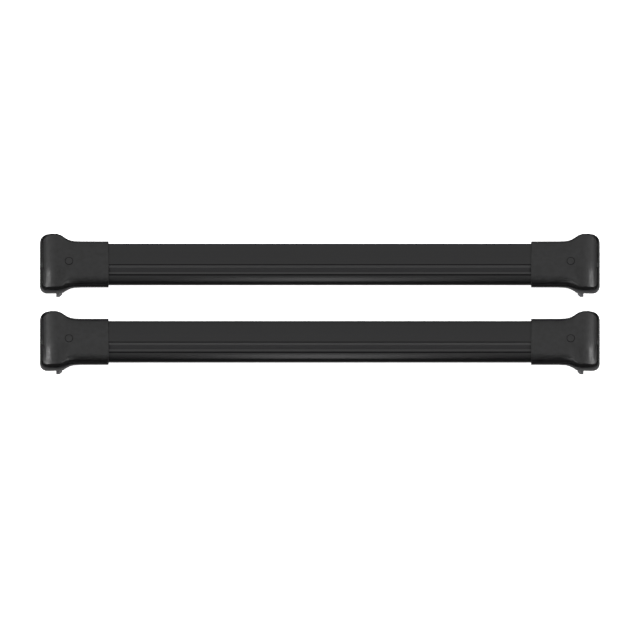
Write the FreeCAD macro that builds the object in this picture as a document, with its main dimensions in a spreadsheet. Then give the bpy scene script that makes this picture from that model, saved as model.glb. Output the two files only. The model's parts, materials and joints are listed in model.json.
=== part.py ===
"""Pair of roof cross bars for raised roof rails: wing bars, clamp feet and their fasteners.

Millimetres. +X runs along the bars, +Y to the rear of the vehicle, +Z up. The origin is on the ground,
under the middle of the pair. "Inset" is a distance inwards from the outer end of a foot, along the bar.
"""
import FreeCAD
import Part
import Sketcher
import math
import os
from types import SimpleNamespace

# Driving dimensions: the only place where a size is written.
SIZES = {
    # the pair
    "overall_length": 1050.0,
    "bar_pitch": 154.3,
    # wing bar, its section set out from the leading edge and the underside
    "bar_chord": 83.1,
    "bar_height": 28.0,
    "bar_front": -46.3,
    "bar_inset": 66.0,
    "bar_end_gap": 1.5,
    "bar_wall": 2.2,
    "tail_radius": 6.0,
    "tail_height": 11.0,
    "tail_wall_angle": 8.0,
    "belly_length": 31.0,
    # channel along the top of the bar, and its strip
    "channel_setback": 24.8,
    "recess_width": 22.0,
    "recess_depth": 3.6,
    "throat_width": 11.0,
    "throat_depth": 2.4,
    "chamber_width": 20.0,
    "chamber_depth": 8.0,
    "strip_width": 17.8,
    "strip_offset": 0.5,
    "strip_lip": 2.6,
    "strip_valley": 1.4,
    "strip_barb": 1.4,
    "strip_clearance": 0.3,
    # foot heights
    "claw_drop": 29.5,
    "base_floor": 5.0,
    "rim_height": 13.0,
    "parting_height": 13.5,
    "head_rise": 1.0,
    "head_crown": 0.8,
    # foot plan
    "foot_length": 129.0,
    "head_length": 105.9,
    "head_forward": 2.6,
    "flare_start": 22.0,
    "flare_middle": 47.4,
    "flare_end": 76.0,
    "flare_softness": 10.4,
    "base_flare_lag": 3.0,
    "rim_proud": 4.8,
    "head_corner": 11.0,
    "rear_corner_extra": 4.0,
    "head_roll": 25.0,
    "end_wall_share": 0.3,
    "front_slope": 8.5,
    "front_edge_radius": 3.0,
    "rear_edge_radius": 8.0,
    # foot shells
    "cover_wall": 2.3,
    "cover_clearance": 0.3,
    "mouth_bevel": 0.8,
    "cavity_margin": 7.4,
    "cavity_top": 8.1,
    "cavity_inset": 10.0,
    "cavity_end": 36.0,
    "front_lip": 0.8,
    "lip_land": 0.5,
    "rear_lip": 1.5,
    "rim_thickness": 3.0,
    "rim_slope_start": 38.0,
    "rim_slope_end": 58.0,
    "rim_edge_radius": 3.5,
    "heel_radius": 12.0,
    "upstand_wall": 2.4,
    "upstand_lap": 2.5,
    "tab_width": 8.0,
    "tab_rise": 1.0,
    "tab_run": 4.0,
    # rail clamp
    "bolt_inset": 54.6,
    "bolt_shift": -4.5,
    "tower_radius": 10.5,
    "seat_height": 18.5,
    "washer_radius": 8.0,
    "washer_thickness": 1.6,
    "washer_clearance": 0.2,
    "bolt_radius": 4.0,
    "bolt_clearance": 0.4,
    "bolt_length": 45.0,
    "bolt_head_radius": 6.5,
    "bolt_head_height": 8.0,
    "socket_width": 6.0,
    "socket_depth": 4.0,
    "thread_clearance": 0.06,
    "nut_width": 13.0,
    "nut_height": 6.5,
    "claw_length": 106.0,
    "claw_tongue": 40.0,
    "claw_plate": 4.8,
    "claw_lift_gap": 0.2,
    "claw_leg_inset": 36.0,
    "claw_leg": 6.0,
    "claw_reach": 5.5,
    "claw_toe": 6.5,
    "claw_tip_height": 5.0,
    "claw_bend": 4.0,
    "claw_heel_inset": 66.0,
    "claw_pad_thickness": 1.5,
    "claw_pad_height": 11.0,
    "claw_pad_length": 90.0,
    "saddle_inset": 7.0,
    "saddle_width": 25.0,
    "saddle_length": 92.0,
    "saddle_thickness": 4.5,
    "saddle_lip": 4.0,
    "saddle_lip_drop": 5.0,
    "saddle_groove": 2.0,
    "saddle_groove_depth": 1.0,
    # round cap over the bolt
    "cap_radius": 7.2,
    "cap_thickness": 2.4,
    "cap_gap": 0.7,
    "cap_plug_radius": 6.0,
    "cap_plug_wall": 1.4,
    "cap_plug_length": 4.0,
    "cap_plug_clearance": 0.2,
    # screws that hold the bar to the base
    "screw_radius": 2.6,
    "screw_clearance": 0.3,
    "screw_reach": 8.0,
    "screw_head_radius": 4.75,
    "screw_head_height": 3.0,
    "screw_head_clearance": 0.4,
    "screw_setback": 13.0,
    "screw_spacing": 26.0,
}

LEFT, RIGHT = -1, 1
FRONT, REAR = -1, 1
SIDES = {"left": LEFT, "right": RIGHT}
BARS = {"front": FRONT, "rear": REAR}

doc = FreeCAD.newDocument("roof_cross_bars")
sheet = doc.addObject("Spreadsheet::Sheet", "dims")
for row, (alias, value) in enumerate(SIZES.items(), start=1):
    sheet.set(f"A{row}", alias.replace("_", " "))
    sheet.set(f"B{row}", str(value))
    sheet.setAlias(f"B{row}", alias)
doc.recompute()
d = SimpleNamespace(**{alias: sheet.get(alias) for alias in SIZES})

# Levels above the ground, worked out from the driving dimensions.
half_length = d.overall_length / 2
base_bottom = d.claw_drop
bar_bottom = base_bottom + d.base_floor
bar_top = bar_bottom + d.bar_height
parting = bar_bottom + d.parting_height
rim_top = base_bottom + d.rim_height
shell = d.cover_clearance + d.cover_wall
sleeve_top = bar_top + shell
head_top = sleeve_top + d.head_rise
head_half = d.head_length / 2
rim_half = head_half + d.rim_proud
base_corner = d.head_corner + d.rim_proud / 2
cavity_ceiling = head_top - d.cavity_top
bolt_seat = base_bottom + d.seat_height
nose_radius = d.bar_height / 2
nose_y = d.bar_front + nose_radius
nose_z = bar_bottom + nose_radius
tail_y = d.bar_front + d.bar_chord - d.tail_radius
tail_z = bar_bottom + d.tail_height
channel_y = d.bar_front + d.channel_setback
overcut = 1.0  # how far a cut runs past the face that it opens

# Where the sections of a foot's shells lie: angles round its outer end, then shares of its S-curve.
END_ANGLES = 0, 22.5, 45, 67.5, 90
FLARE_SHARES = 0.06, 0.2, 0.4, 0.6, 0.8, 0.94

# The same levels as formulas for the document.
BASE_BOTTOM = "dims.claw_drop"
BAR_BOTTOM = "(dims.claw_drop + dims.base_floor)"
BOLT_SEAT = "(dims.claw_drop + dims.seat_height)"
BOLT_UNDERHEAD = "(dims.claw_drop + dims.seat_height + dims.washer_thickness)"
CLAW_TOP = "(dims.claw_drop - dims.claw_lift_gap)"
SOCKET_RUN = f"dims.foot_length + {overcut} - dims.bar_inset + dims.bar_end_gap"

parts = []


def keep(label, obj):
    """Name a finished sub-part and put it on the list of pieces to write."""
    obj.Label = label
    parts.append(obj)


def place_x(side, inset):
    """X of a point that lies an inset in from the outer end of a foot."""
    return side * (half_length - inset)


def x_formula(side, inset):
    """The same as a formula, where the inset is a formula too."""
    return f"{side} * (dims.overall_length / 2 - ({inset}))"


def y_formula(bar, shift="0"):
    """Y of a point on one of the two bars."""
    return f"{bar} * dims.bar_pitch / 2 + ({shift})"


def new_body(name, bar):
    """A body, moved to its own bar of the pair."""
    body = doc.addObject("PartDesign::Body", name)
    body.setExpression("Placement.Base.y", y_formula(bar))
    return body


def new_sketch(body, name, plane, offset):
    """A sketch on an origin plane of its body, lifted by a number or a formula."""
    sketch = body.newObject("Sketcher::SketchObject", name)
    origin = next(f for f in body.Origin.OriginFeatures if f.Role == plane)
    sketch.AttachmentSupport = [(origin, "")]
    sketch.MapMode = "FlatFace"
    if isinstance(offset, str):
        sketch.setExpression("AttachmentOffset.Base.z", offset)
    else:
        sketch.AttachmentOffset.Base = FreeCAD.Vector(0, 0, offset)
    return sketch


def end_at(edge, point):
    """Which end of a sketch edge lies at a point: 1 for its start, 2 for its end."""
    at_start = edge.StartPoint.distanceToPoint(point) < edge.EndPoint.distanceToPoint(point)
    return 1 if at_start else 2


def trace(sketch, start, steps):
    """Draw a closed outline. A step is an end point, or a point on an arc and the arc's end point."""
    first = len(sketch.Geometry)
    corners = [FreeCAD.Vector(*start, 0)]
    for step in steps:
        if len(step) == 2 and isinstance(step[0], tuple):
            via, end = (FreeCAD.Vector(*point, 0) for point in step)
            turns_left = (via - corners[-1]).cross(end - via).z > 0
            ends = (corners[-1], end) if turns_left else (end, corners[-1])
            sketch.addGeometry(Part.Arc(ends[0], via, ends[1]))
        else:
            end = FreeCAD.Vector(*step, 0)
            sketch.addGeometry(Part.LineSegment(corners[-1], end))
        corners.append(end)
    count = len(steps)
    for index in range(count):
        here, there = first + index, first + (index + 1) % count
        joint = corners[index + 1]
        ends = end_at(sketch.Geometry[here], joint), end_at(sketch.Geometry[there], joint)
        sketch.addConstraint(Sketcher.Constraint("Coincident", here, ends[0], there, ends[1]))


def rectangle(sketch, low, high):
    """A closed rectangle between two opposite corners."""
    trace(sketch, low, [(high[0], low[1]), high, (low[0], high[1]), low])


def circle(sketch, centre, radius, formula):
    """A circle whose radius is bound to a formula."""
    index = sketch.addGeometry(Part.Circle(FreeCAD.Vector(*centre, 0), FreeCAD.Vector(0, 0, 1), radius))
    rule = sketch.addConstraint(Sketcher.Constraint("Radius", index, radius))
    sketch.setExpression(f"Constraints[{rule}]", formula)


def extrude(body, kind, name, sketch, length, reverse=False):
    """A pad or pocket of a sketch, with its length bound to a formula."""
    feature = body.newObject(f"PartDesign::{kind}", name)
    feature.Profile = sketch
    feature.Reversed = reverse
    feature.setExpression("Length", length)
    return feature


def point_on(centre, radius, degrees):
    """A point on a circle."""
    angle = math.radians(degrees)
    return centre[0] + radius * math.cos(angle), centre[1] + radius * math.sin(angle)


def tangent_radius(run, rise, small):
    """Radius of the arc that leaves a line square to its centre and meets a smaller circle inside it."""
    return (run * run + rise * rise - small * small) / (2 * (rise - small))


def wing(grow):
    """Outline of the wing section in Y and Z, grown by an offset: its key points and its steps."""
    nose = nose_y, nose_z
    tail = tail_y, tail_z
    back_y = channel_y + d.recess_width / 2
    back_radius = tangent_radius(tail_y - back_y, bar_top - tail_z, d.tail_radius)
    back = back_y, bar_top - back_radius
    belly_y = nose_y + d.belly_length
    belly_radius = tangent_radius(tail_y - belly_y, tail_z - bar_bottom, d.tail_radius)
    belly = belly_y, bar_bottom + belly_radius
    meet_back = math.degrees(math.atan2(tail_z - back[1], tail_y - back[0]))
    meet_belly = math.degrees(math.atan2(tail_z - belly[1], tail_y - belly[0]))
    return SimpleNamespace(
        nose=nose, nose_radius=nose_radius + grow, tail=tail, tail_radius=d.tail_radius + grow,
        back=back, back_radius=back_radius + grow, belly=belly, belly_radius=belly_radius + grow,
        meet_back=meet_back, meet_belly=meet_belly, top=bar_top + grow, bottom=bar_bottom - grow)


def trace_wing(sketch, grow, grow_below):
    """Draw the wing outline; the flat underside may keep another offset, where the bar is seated."""
    w = wing(grow)
    low = nose_z - w.nose_radius + (grow - grow_below)
    bottom_front = w.nose[0], low
    trace(sketch, bottom_front, [
        (point_on(w.nose, w.nose_radius, 200), (w.nose[0] - w.nose_radius, w.nose[1])),
        (point_on(w.nose, w.nose_radius, 135), (w.nose[0], w.top)),
        (w.back[0], w.top),
        (point_on(w.back, w.back_radius, (90 + w.meet_back) / 2), point_on(w.tail, w.tail_radius, w.meet_back)),
        (point_on(w.tail, w.tail_radius, (w.meet_back + w.meet_belly) / 2),
         point_on(w.tail, w.tail_radius, w.meet_belly)),
        (point_on(w.belly, w.belly_radius, (w.meet_belly - 90) / 2), (w.belly[0], low)),
        bottom_front,
    ])


def s_curve(inset):
    """An S-curve about the middle of the flare, which nears 0 and 1 at its ends."""
    return (1 + math.tanh((inset - d.flare_middle) / d.flare_softness)) / 2


def flare(inset):
    """0 on the clamp head, 1 on the sleeve, with an S-curve between them."""
    inset = min(max(inset, d.flare_start), d.flare_end)
    low, high = s_curve(d.flare_start), s_curve(d.flare_end)
    return (s_curve(inset) - low) / (high - low)


def corner_pull(inset, radius):
    """How far a rounded plan corner draws a side in, at an inset from the shell's outer end."""
    left = radius - inset
    if left <= 0:
        return 0.0
    return radius - math.sqrt(max(radius * radius - left * left, 0.0))


def round_corners(points, inset, radius):
    """Draw the front and rear sides of a section in by their plan corners; the rear corner is the larger."""
    front = corner_pull(inset, radius)
    rear = corner_pull(inset, radius + d.rear_corner_extra)
    return [(y + front if y < 0 else y - rear, z) for y, z in points]


def mix(a, b, share):
    """Blend two lists of points."""
    return [(p[0] + (q[0] - p[0]) * share, p[1] + (q[1] - p[1]) * share) for p, q in zip(a, b)]


def cover_points(inset, skin):
    """Section of the cover's outside: front wall, front edge, front slope, top, rear edge, rear wall."""
    rf, rr = d.front_edge_radius, d.rear_edge_radius
    wall_y = -head_half - d.head_forward
    slope = math.radians(d.front_slope)
    fall = (channel_y - wall_y - rf) * math.tan(slope) + rf / math.cos(slope)
    front = wall_y + rf, head_top - fall
    rear = head_half - rr, head_top - d.head_crown - rr
    head = [
        (wall_y, parting), (wall_y, front[1]), point_on(front, rf, 135 + d.front_slope / 2),
        point_on(front, rf, 90 + d.front_slope),
        (channel_y, head_top), ((channel_y + rear[0]) / 2, head_top - d.head_crown / 4), (rear[0], rear[1] + rr),
        point_on(rear, rr, 45), (head_half, rear[1]), (head_half, parting)]
    w = wing(skin)
    low_angle = math.degrees(math.asin((parting - tail_z) / w.tail_radius))
    turn = low_angle + d.tail_wall_angle
    sleeve = [
        (w.nose[0] - w.nose_radius, parting), (w.nose[0] - w.nose_radius, w.nose[1]),
        point_on(w.nose, w.nose_radius, 135), (w.nose[0], w.top),
        (w.back[0], w.top), point_on(w.back, w.back_radius, (90 + w.meet_back) / 2),
        point_on(w.tail, w.tail_radius, w.meet_back), point_on(w.tail, w.tail_radius, (w.meet_back + turn) / 2),
        point_on(w.tail, w.tail_radius, turn), point_on(w.tail, w.tail_radius, low_angle)]
    points = mix(head, sleeve, flare(inset))
    left = max(d.rim_proud + d.head_roll - inset, 0.0) / d.head_roll
    height = d.end_wall_share + (1 - d.end_wall_share) * math.sqrt(max(1 - left * left, 0.0))
    points = [(y, parting + (z - parting) * height) for y, z in points]
    points = round_corners(points, inset - d.rim_proud, d.head_corner)
    points[0] = points[0][0], parting - overcut
    points[-1] = points[-1][0], parting - overcut
    return points


def trace_cover(sketch, inset, skin=shell):
    p = cover_points(inset, skin)
    trace(sketch, p[0], [p[1], (p[2], p[3]), p[4], (p[5], p[6]), (p[7], p[8]), p[9], p[0]])


def base_points(inset):
    """Section of the base's outside, before its top and sole are cut: front wall, front lower edge,
    underside, rear lower edge, rear wall."""
    top, low = parting + overcut, base_bottom - overcut

    def box(front, rear, front_radius, rear_radius):
        front_centre = front + front_radius, low + front_radius
        rear_centre = rear - rear_radius, low + rear_radius
        return [
            (front, top), (front, front_centre[1]), point_on(front_centre, front_radius, 225),
            (front_centre[0], low), (rear_centre[0], low),
            point_on(rear_centre, rear_radius, 315), (rear, rear_centre[1]), (rear, top)]
    w = wing(shell)
    head = box(-rim_half, rim_half, d.rim_edge_radius, d.rim_edge_radius)
    sleeve_front = w.nose[0] - w.nose_radius - d.front_lip
    sleeve_rear = w.tail[0] + w.tail_radius + d.rear_lip
    toe_radius = parting - base_bottom - d.lip_land
    sleeve = box(sleeve_front, sleeve_rear, toe_radius, d.heel_radius)
    front = mix(head, sleeve, flare(inset - d.base_flare_lag))
    rear = mix(head, sleeve, flare(inset))
    half = len(head) // 2
    return round_corners(front[:half] + rear[half:], inset, base_corner)


def trace_base(sketch, inset):
    p = base_points(inset)
    trace(sketch, p[0], [p[1], (p[2], p[3]), p[4], (p[5], p[6]), p[7], p[0]])


def stations(outer, roll, lag):
    """Insets of the loft sections: close together round the outer end, then by even steps of the S-curve."""
    near = [outer + roll * (1 - math.cos(math.radians(angle))) for angle in END_ANGLES]
    far = [d.flare_middle + d.flare_softness * math.atanh(2 * share - 1) + lag for share in FLARE_SHARES]
    return near + [inset for inset in far if near[-1] < inset < d.flare_end + lag] + [d.flare_end + lag]


def loft(body, side, name, insets, draw):
    """A solid through sections across the foot, from the outer end to the sleeve."""
    sketches = []
    for number, inset in enumerate(insets):
        sketch = new_sketch(body, f"{name}_{number}", "YZ_Plane", place_x(side, inset))
        draw(sketch, inset)
        sketches.append(sketch)
    feature = body.newObject("PartDesign::AdditiveLoft", f"{name}_flare")
    feature.Profile = sketches[0]
    feature.Sections = sketches[1:]
    feature.Ruled = True


def straight_run(body, side, name, inset, draw, short="0"):
    """The straight part of the sleeve, from the end of the loft to the mouth or short of it."""
    sketch = new_sketch(body, f"{name}_run", "YZ_Plane", place_x(side, inset))
    draw(sketch, inset)
    extrude(body, "Pad", f"{name}_sleeve", sketch, f"dims.foot_length - {inset} - {short}", reverse=side == RIGHT)


def bevel_mouth(body, side, name):
    """A short taper to the sleeve's mouth, which takes the sharp edge off the cover."""
    start = d.foot_length - d.mouth_bevel
    wide = new_sketch(body, f"{name}_mouth_wide", "YZ_Plane", place_x(side, start))
    trace_cover(wide, start)
    narrow = new_sketch(body, f"{name}_mouth_narrow", "YZ_Plane", place_x(side, d.foot_length))
    trace_cover(narrow, start, shell - d.mouth_bevel)
    feature = body.newObject("PartDesign::AdditiveLoft", f"{name}_mouth")
    feature.Profile = wide
    feature.Sections = [narrow]


def make_bar(bar_name, bar):
    """Hollow wing bar with three cells and a T-channel under the strip recess."""
    body = new_body(f"{bar_name}_bar_body", bar)
    run = "dims.overall_length - 2 * dims.bar_inset"
    start = x_formula(LEFT, "dims.bar_inset")
    outline = new_sketch(body, f"{bar_name}_wing", "YZ_Plane", start)
    trace_wing(outline, 0.0, 0.0)
    extrude(body, "Pad", f"{bar_name}_extrusion", outline, run)

    channel = new_sketch(body, f"{bar_name}_channel", "YZ_Plane", start)
    recess_floor = bar_top - d.recess_depth
    chamber_top = recess_floor - d.throat_depth
    chamber_floor = chamber_top - d.chamber_depth
    above = bar_top + d.recess_depth
    half = d.recess_width / 2, d.throat_width / 2, d.chamber_width / 2
    levels = above, recess_floor, chamber_top, chamber_floor
    trace(channel, (channel_y - half[0], levels[0]), [
        (channel_y - half[0], levels[1]), (channel_y - half[1], levels[1]),
        (channel_y - half[1], levels[2]), (channel_y - half[2], levels[2]),
        (channel_y - half[2], levels[3]), (channel_y + half[2], levels[3]),
        (channel_y + half[2], levels[2]), (channel_y + half[1], levels[2]),
        (channel_y + half[1], levels[1]), (channel_y + half[0], levels[1]),
        (channel_y + half[0], levels[0]), (channel_y - half[0], levels[0])])
    extrude(body, "Pocket", f"{bar_name}_channel_cut", channel, run, reverse=True)

    cells = new_sketch(body, f"{bar_name}_cells", "YZ_Plane", start)
    wall = d.bar_wall
    w = wing(-wall)
    web_front = channel_y - half[2] - wall
    web_rear = channel_y + half[2] + wall
    nose_cell_y = min(web_front, w.nose[0] - wall / 2)
    rise = math.degrees(math.acos((w.nose[0] - nose_cell_y) / w.nose_radius))
    trace(cells, point_on(w.nose, w.nose_radius, 180 - rise), [
        ((w.nose[0] - w.nose_radius, w.nose[1]), point_on(w.nose, w.nose_radius, 180 + rise)),
        point_on(w.nose, w.nose_radius, 180 - rise)])
    rectangle(cells, (nose_cell_y + wall, bar_bottom + wall), (web_rear - wall, chamber_floor - wall))
    back_start = math.degrees(math.acos((web_rear + wall - w.back[0]) / w.back_radius))
    back_top = point_on(w.back, w.back_radius, back_start)[1]
    belly_low = w.belly[1] - math.sqrt(w.belly_radius ** 2 - (web_rear + wall - w.belly[0]) ** 2)
    belly_low = max(belly_low, bar_bottom + wall)
    trace(cells, (web_rear + wall, belly_low), [
        (web_rear + wall, back_top),
        (point_on(w.back, w.back_radius, (back_start + w.meet_back) / 2), point_on(w.tail, w.tail_radius, w.meet_back)),
        (point_on(w.tail, w.tail_radius, (w.meet_back + w.meet_belly) / 2),
         point_on(w.tail, w.tail_radius, w.meet_belly)),
        (point_on(w.belly, w.belly_radius, (w.meet_belly - 90) / 2), (w.belly[0], bar_bottom + wall)),
        (web_rear + wall, belly_low)])
    extrude(body, "Pocket", f"{bar_name}_hollow", cells, run, reverse=True)

    holes = new_sketch(body, f"{bar_name}_screw_holes", "XY_Plane", BAR_BOTTOM)
    for side in SIDES.values():
        for inset in screw_insets():
            circle(holes, (place_x(side, inset), channel_y), d.screw_radius + d.screw_clearance,
                   "dims.screw_radius + dims.screw_clearance")
    extrude(body, "Pocket", f"{bar_name}_screw_cut", holes, "dims.bar_wall", reverse=True)
    keep(f"{bar_name}_bar_profile", body)


def make_strip(bar_name, bar):
    """Rubber strip: a flange with two raised lips, a stem through the throat and a barb below it."""
    body = new_body(f"{bar_name}_strip_body", bar)
    sketch = new_sketch(body, f"{bar_name}_strip", "YZ_Plane", x_formula(LEFT, "dims.bar_inset"))
    flange_front = channel_y + d.strip_offset - d.strip_width / 2
    flange_rear = channel_y + d.strip_offset + d.strip_width / 2
    stem = d.throat_width / 2 - d.strip_clearance
    barb = d.throat_width / 2 + d.strip_barb
    floor = bar_top - d.recess_depth
    under = floor - d.throat_depth - d.strip_clearance
    tip = under - d.strip_barb * 2
    trace(sketch, (flange_front, floor), [
        (flange_front, bar_top), (flange_front + d.strip_lip, bar_top),
        ((channel_y + d.strip_offset, bar_top - d.strip_valley), (flange_rear - d.strip_lip, bar_top)),
        (flange_rear, bar_top), (flange_rear, floor),
        (channel_y + stem, floor), (channel_y + stem, under),
        (channel_y + barb, under), (channel_y + stem, tip),
        (channel_y - stem, tip), (channel_y - barb, under),
        (channel_y - stem, under), (channel_y - stem, floor),
        (flange_front, floor)])
    extrude(body, "Pad", f"{bar_name}_strip_run", sketch, "dims.overall_length - 2 * dims.bar_inset")
    keep(f"{bar_name}_slot_strip", body)


def screw_insets():
    """Insets of the two screws of a foot."""
    inner = d.foot_length - d.screw_setback
    return inner - d.screw_spacing, inner


def cap_level():
    """Level of the cover's top at the bolt axis."""
    return head_top + (sleeve_top - head_top) * flare(d.bolt_inset)


def rounded_plan(sketch, side, low, high, radius):
    """A rectangle in plan whose outer corners are rounded, from a low to a high inset and Y."""
    outer, inner = place_x(side, low[0]), place_x(side, high[0])
    turn = place_x(side, low[0] + radius)
    middle = place_x(side, low[0] + radius * (1 - math.sqrt(0.5)))
    bend = radius * (1 - math.sqrt(0.5))
    trace(sketch, (inner, low[1]), [
        (turn, low[1]), ((middle, low[1] + bend), (outer, low[1] + radius)),
        (outer, high[1] - radius), ((middle, high[1] - bend), (turn, high[1])),
        (inner, high[1]), (inner, low[1])])


def slab_cut(body, side, name, level):
    """Cut a level face across the whole foot, taking off what lies below it."""
    sketch = new_sketch(body, f"{name}_plane", "XY_Plane", level)
    far = rim_half + overcut
    rectangle(sketch, (place_x(side, -overcut), -far), (place_x(side, d.foot_length + overcut), far))
    extrude(body, "Pocket", f"{name}_plane_cut", sketch, f"{2 * overcut}")


def throat_span():
    """Y limits of the hollow beside the bolt tower, inside both shells."""
    front = nose_y - nose_radius + d.cover_wall * 2
    rear = d.bolt_shift + d.tower_radius * 2
    return front, rear


def make_cover(name, side, bar):
    """Upper shell: sleeve over the bar, S-shaped flare and a head that rolls down at its outer end."""
    body = new_body(f"{name}_cover_body", bar)
    insets = stations(d.rim_proud, d.head_roll, 0.0)
    loft(body, side, f"{name}_cover", insets, trace_cover)
    straight_run(body, side, f"{name}_cover", insets[-1], trace_cover, "dims.mouth_bevel")
    bevel_mouth(body, side, name)
    slab_cut(body, side, f"{name}_parting", parting)

    bar_space = new_sketch(body, f"{name}_cover_socket", "YZ_Plane", place_x(side, d.foot_length + overcut))
    trace_wing(bar_space, d.cover_clearance, d.cover_clearance)
    extrude(body, "Pocket", f"{name}_cover_socket_cut", bar_space,
            SOCKET_RUN, reverse=side == RIGHT)

    half = head_half - d.cavity_margin
    cavity = new_sketch(body, f"{name}_cover_cavity", "XY_Plane", parting)
    rounded_plan(cavity, side, (d.cavity_inset, -half), (d.cavity_end, half), d.head_corner - d.cover_wall)
    depth = f"{cavity_ceiling - parting}"
    extrude(body, "Pocket", f"{name}_cover_cavity_cut", cavity, depth, reverse=True)
    throat = new_sketch(body, f"{name}_cover_throat", "XY_Plane", parting)
    front, rear = throat_span()
    rectangle(throat, (place_x(side, d.cavity_end - overcut), front), (place_x(side, d.bar_inset - overcut), rear))
    extrude(body, "Pocket", f"{name}_cover_throat_cut", throat, depth, reverse=True)

    centre = place_x(side, d.bolt_inset), d.bolt_shift
    above = head_top + overcut
    hole = new_sketch(body, f"{name}_cap_hole", "XY_Plane", above)
    circle(hole, centre, d.cap_plug_radius + d.cap_plug_clearance,
           "dims.cap_plug_radius + dims.cap_plug_clearance")
    extrude(body, "Pocket", f"{name}_cap_hole_cut", hole, f"{above - cavity_ceiling + overcut}")
    seat = new_sketch(body, f"{name}_cap_seat", "XY_Plane", above)
    circle(seat, centre, d.cap_radius + d.cap_gap, "dims.cap_radius + dims.cap_gap")
    extrude(body, "Pocket", f"{name}_cap_seat_cut", seat,
            f"{above - cap_level()} + dims.cap_thickness")
    keep(f"{name}_foot_cover", body)


def trim_rim(body, side, name):
    """Cut the base's upper edge: low round the head, then rising to meet the cover along the sleeve."""
    far = rim_half + overcut
    sketch = new_sketch(body, f"{name}_rim_line", "XZ_Plane", far)
    above = parting + 2 * overcut
    outline = [(-overcut, rim_top), (d.rim_slope_start, rim_top), (d.rim_slope_end, parting),
               (d.foot_length + overcut, parting), (d.foot_length + overcut, above), (-overcut, above)]
    steps = [(place_x(side, inset), z) for inset, z in outline]
    trace(sketch, steps[0], steps[1:] + steps[:1])
    extrude(body, "Pocket", f"{name}_rim_line_cut", sketch, f"{2 * far}")


def make_base(name, side, bar):
    """Lower shell: proud rim, floor, cradle for the bar, locating wall and bolt tower."""
    body = new_body(f"{name}_base_body", bar)
    insets = stations(0.0, base_corner + d.rear_corner_extra, d.base_flare_lag)
    loft(body, side, f"{name}_base", insets, trace_base)
    straight_run(body, side, f"{name}_base", insets[-1], trace_base)
    slab_cut(body, side, f"{name}_sole", base_bottom)
    trim_rim(body, side, name)

    cradle = new_sketch(body, f"{name}_cradle", "YZ_Plane", place_x(side, d.foot_length + overcut))
    trace_wing(cradle, d.cover_clearance, 0.0)
    extrude(body, "Pocket", f"{name}_cradle_cut", cradle,
            SOCKET_RUN, reverse=side == RIGHT)

    depth = f"{parting - bar_bottom + overcut}"
    inner = rim_half - d.rim_thickness
    tray = new_sketch(body, f"{name}_tray", "XY_Plane", BAR_BOTTOM)
    rounded_plan(tray, side, (d.rim_thickness, -inner), (d.cavity_end, inner), d.head_corner)
    extrude(body, "Pocket", f"{name}_tray_cut", tray, depth, reverse=True)
    throat = new_sketch(body, f"{name}_throat", "XY_Plane", BAR_BOTTOM)
    front, rear = throat_span()
    rectangle(throat, (place_x(side, d.cavity_end - overcut), front), (place_x(side, d.bar_inset - overcut), rear))
    extrude(body, "Pocket", f"{name}_throat_cut", throat, depth, reverse=True)

    half = head_half - d.cavity_margin - d.cover_clearance
    start = d.cavity_inset + d.cover_clearance
    corner = d.head_corner - d.cover_wall - d.cover_clearance
    end = d.cavity_end - d.cover_clearance
    upstand = new_sketch(body, f"{name}_upstand", "XY_Plane", BAR_BOTTOM)
    rounded_plan(upstand, side, (start, -half), (end, half), corner)
    extrude(body, "Pad", f"{name}_upstand_wall", upstand, f"{parting - bar_bottom} + dims.upstand_lap")
    inside = new_sketch(body, f"{name}_upstand_inside", "XY_Plane", BAR_BOTTOM)
    wall = d.upstand_wall
    rounded_plan(inside, side, (start + wall, wall - half), (end + overcut, half - wall), corner - wall)
    extrude(body, "Pocket", f"{name}_upstand_hollow", inside,
            f"{parting - bar_bottom + overcut} + dims.upstand_lap", reverse=True)

    centre = place_x(side, d.bolt_inset), d.bolt_shift
    tower = new_sketch(body, f"{name}_tower", "XY_Plane", BAR_BOTTOM)
    circle(tower, centre, d.tower_radius, "dims.tower_radius")
    extrude(body, "Pad", f"{name}_tower_wall", tower,
            f"{cavity_ceiling - bar_bottom} - dims.cover_clearance")
    seat = new_sketch(body, f"{name}_bolt_seat", "XY_Plane", BOLT_SEAT)
    circle(seat, centre, d.washer_radius + d.washer_clearance, "dims.washer_radius + dims.washer_clearance")
    extrude(body, "Pocket", f"{name}_bolt_seat_cut", seat, f"{cavity_ceiling - bolt_seat}", reverse=True)
    bore = new_sketch(body, f"{name}_bolt_bore", "XY_Plane", f"{BASE_BOTTOM} - {overcut}")
    circle(bore, centre, d.bolt_radius + d.bolt_clearance, "dims.bolt_radius + dims.bolt_clearance")
    extrude(body, "Pocket", f"{name}_bolt_bore_cut", bore, f"dims.seat_height + {2 * overcut}", reverse=True)

    tab = new_sketch(body, f"{name}_tab", "XY_Plane", BAR_BOTTOM)
    rectangle(tab, (place_x(side, d.rim_thickness - overcut), d.bolt_shift - d.tab_width / 2),
              (place_x(side, d.rim_thickness + d.tab_run), d.bolt_shift + d.tab_width / 2))
    extrude(body, "Pad", f"{name}_tab_rib", tab, f"{rim_top - bar_bottom} + dims.tab_rise")

    screws = new_sketch(body, f"{name}_screw_heads", "XY_Plane", BASE_BOTTOM)
    shanks = new_sketch(body, f"{name}_screw_shanks", "XY_Plane", BASE_BOTTOM)
    for inset in screw_insets():
        spot = place_x(side, inset), channel_y
        circle(screws, spot, d.screw_head_radius + d.screw_head_clearance,
               "dims.screw_head_radius + dims.screw_head_clearance")
        circle(shanks, spot, d.screw_radius + d.screw_clearance, "dims.screw_radius + dims.screw_clearance")
    extrude(body, "Pocket", f"{name}_screw_head_cut", screws, "dims.screw_head_height", reverse=True)
    extrude(body, "Pocket", f"{name}_screw_shank_cut", shanks, f"dims.base_floor + {overcut}", reverse=True)
    keep(f"{name}_foot_base", body)


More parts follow.
